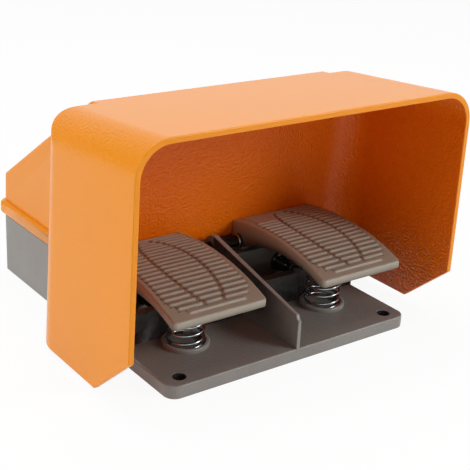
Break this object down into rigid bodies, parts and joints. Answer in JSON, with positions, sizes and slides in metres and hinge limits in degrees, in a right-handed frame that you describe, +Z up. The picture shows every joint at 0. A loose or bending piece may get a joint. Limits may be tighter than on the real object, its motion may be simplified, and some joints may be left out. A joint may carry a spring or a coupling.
{
  "type": "double foot switch",
  "caption": "Guarded double foot switch: two sprung pedals under a cast guard, with a sloping switch box behind them.",
  "frame": {"origin": "centre of the base's flat underside", "axes": "+Z up, -Y towards the operator and the pedals' front edges, +X to the operator's right"},
  "size_m": [0.2692, 0.2585, 0.171],
  "materials": {
    "orange_coat": "orange peel powder coat on cast aluminium",
    "grey_coat": "fine textured enamel on cast aluminium",
    "pedal_coat": "fine textured enamel on cast aluminium",
    "seal_rubber": "matte",
    "stop_rubber": "matte",
    "screw_steel": "zinc plated",
    "shaft_steel": "ground",
    "washer_steel": "black oxide",
    "clip_steel": "bright spring steel",
    "bush_brass": "machined",
    "spring_steel": "bright zinc plated",
    "plunger_black": "satin",
    "button_plastic": "satin",
    "switch_plastic": "satin",
    "bracket_steel": "zinc plated",
    "block_plastic": "satin",
    "terminal_brass": "machined",
    "gland_plastic": "satin"
  },
  "bodies": {
    "base": {"base_casting": "grey_coat", "bracket_screws": "screw_steel", "cover_gasket": "seal_rubber", "cover_screws": "screw_steel", "earth_screw": "terminal_brass", "gland_body": "gland_plastic", "gland_cap": "gland_plastic", "gland_nut": "gland_plastic", "gland_seal": "seal_rubber", "heel_pads": "stop_rubber", "hood_cover": "orange_coat", "left_plunger_sleeve": "plunger_black", "left_sleeve_nut": "screw_steel", "left_snap_switch": "switch_plastic", "left_spring": "spring_steel", "left_switch_terminals": "terminal_brass", "pivot_shaft": "shaft_steel", "right_plunger_sleeve": "plunger_black", "right_sleeve_nut": "screw_steel", "right_snap_switch": "switch_plastic", "right_spring": "spring_steel", "right_switch_terminals": "terminal_brass", "shaft_clips": "clip_steel", "shaft_washers": "washer_steel", "stop_bumpers": "stop_rubber", "switch_bracket": "bracket_steel", "terminal_block": "block_plastic", "terminal_screws": "terminal_brass"},
    "left_pedal_body": {"left_pedal": "pedal_coat", "left_pedal_bushes": "bush_brass", "left_adjusting_stud": "screw_steel", "left_lock_nut": "screw_steel"},
    "left_plunger_body": {"left_plunger": "plunger_black", "left_switch_button": "button_plastic"},
    "right_pedal_body": {"right_pedal": "pedal_coat", "right_pedal_bushes": "bush_brass", "right_adjusting_stud": "screw_steel", "right_lock_nut": "screw_steel"},
    "right_plunger_body": {"right_plunger": "plunger_black", "right_switch_button": "button_plastic"}
  },
  "joints": [
    {"name": "left_pedal_hinge", "type": "hinge", "parent": "base", "child": "left_pedal_body", "pos_m": [-0.059, -0.0145, 0.0448], "axis": [1, 0, 0], "range_deg": [0, 10], "stiffness_Nm_per_rad": 12, "springref_deg": -8.59, "deforming": ["left_spring"]},
    {"name": "left_plunger_slide", "type": "slide", "parent": "base", "child": "left_plunger_body", "axis": [0, 1, 0], "range_m": [0, 0.0041]},
    {"name": "right_pedal_hinge", "type": "hinge", "parent": "base", "child": "right_pedal_body", "pos_m": [0.059, -0.0145, 0.0448], "axis": [1, 0, 0], "range_deg": [0, 10], "stiffness_Nm_per_rad": 12, "springref_deg": -8.59, "deforming": ["right_spring"]},
    {"name": "right_plunger_slide", "type": "slide", "parent": "base", "child": "right_plunger_body", "axis": [0, 1, 0], "range_m": [0, 0.0041]}
  ],
  "couplings": [
    {"joint": "left_plunger_slide", "follows": "left_pedal_hinge", "m_per_rad": 0.023},
    {"joint": "right_plunger_slide", "follows": "right_pedal_hinge", "m_per_rad": 0.023}
  ]
}
